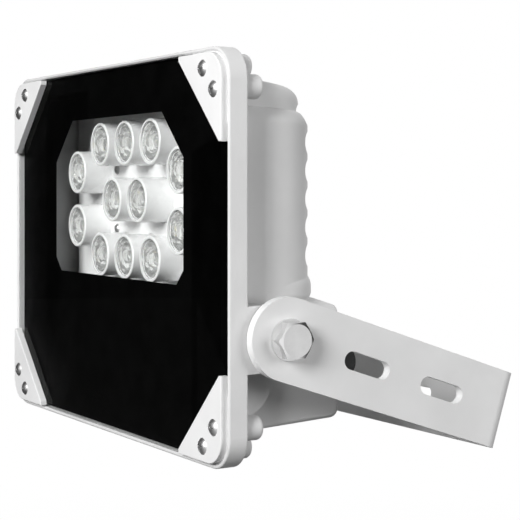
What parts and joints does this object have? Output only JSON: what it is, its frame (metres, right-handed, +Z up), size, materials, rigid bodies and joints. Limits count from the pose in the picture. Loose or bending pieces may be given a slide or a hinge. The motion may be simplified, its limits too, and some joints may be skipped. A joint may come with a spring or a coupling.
{
  "type": "LED floodlight",
  "caption": "Wide LED floodlight with a finned rounded housing, round lenses behind a flush black-bordered glass, and a tilting U-bracket for a wall or mast.",
  "frame": {"origin": "centre of the bracket's back face, on the axis of its middle fixing hole, at that face", "axes": "+X to the right of the lamp seen from its front, along the tilt axis; -Y the way the lamp faces; +Z up with the head upright"},
  "size_m": [0.2944, 0.1759, 0.2032],
  "materials": {
    "grey_coat": "satin light grey powder coat",
    "grey_casting": "satin light grey powder coat on cast aluminium",
    "clamp_coat": "satin pale grey powder coat",
    "clear_glass": "clear toughened glass, polished",
    "black_mask": "black ceramic print behind the glass",
    "black_rubber": "matt silicone rubber",
    "zinc_steel": "bright zinc plated",
    "board_white": "white solder mask on an aluminium board",
    "led_phosphor": "yellow phosphor under a clear dome",
    "white_plate": "white reflective sheet",
    "white_plastic": "white moulded plastic",
    "clear_lens": "clear moulded lens, polished",
    "driver_case": "plain aluminium case",
    "lead_sheath": "matt cable sheath",
    "gland_black": "black polyamide"
  },
  "bodies": {
    "bracket": {"bracket": "grey_coat"},
    "head": {"housing": "grey_casting", "front_glass": "clear_glass", "mask_film": "black_mask", "glass_gasket": "black_rubber", "clamp_top_right": "clamp_coat", "clamp_top_left": "clamp_coat", "clamp_bottom_right": "clamp_coat", "clamp_bottom_left": "clamp_coat", "clamp_screws": "zinc_steel", "led_board": "board_white", "led_chips": "led_phosphor", "reflector_plate": "white_plate", "reflector_screws": "zinc_steel", "lens_holder_01": "white_plastic", "lens_01": "clear_lens", "lens_holder_02": "white_plastic", "lens_02": "clear_lens", "lens_holder_03": "white_plastic", "lens_03": "clear_lens", "lens_holder_04": "white_plastic", "lens_04": "clear_lens", "lens_holder_05": "white_plastic", "lens_05": "clear_lens", "lens_holder_06": "white_plastic", "lens_06": "clear_lens", "lens_holder_07": "white_plastic", "lens_07": "clear_lens", "lens_holder_08": "white_plastic", "lens_08": "clear_lens", "lens_holder_09": "white_plastic", "lens_09": "clear_lens", "lens_holder_10": "white_plastic", "lens_10": "clear_lens", "lens_holder_11": "white_plastic", "lens_11": "clear_lens", "lens_holder_12": "white_plastic", "lens_12": "clear_lens", "driver": "driver_case", "driver_screws": "zinc_steel", "board_lead": "lead_sheath", "gland_body": "gland_black", "gland_cap": "gland_black", "gland_seal": "black_rubber", "gland_locknut": "gland_black", "pivot_bolt_right": "zinc_steel", "pivot_bolt_left": "zinc_steel", "flat_washer_right": "zinc_steel", "flat_washer_left": "zinc_steel"}
  },
  "joints": [
    {"name": "tilt", "type": "hinge", "parent": "bracket", "child": "head", "pos_m": [0, -0.1355, 0.04571], "axis": [1, 0, 0], "range_deg": [-100, 180]}
  ]
}
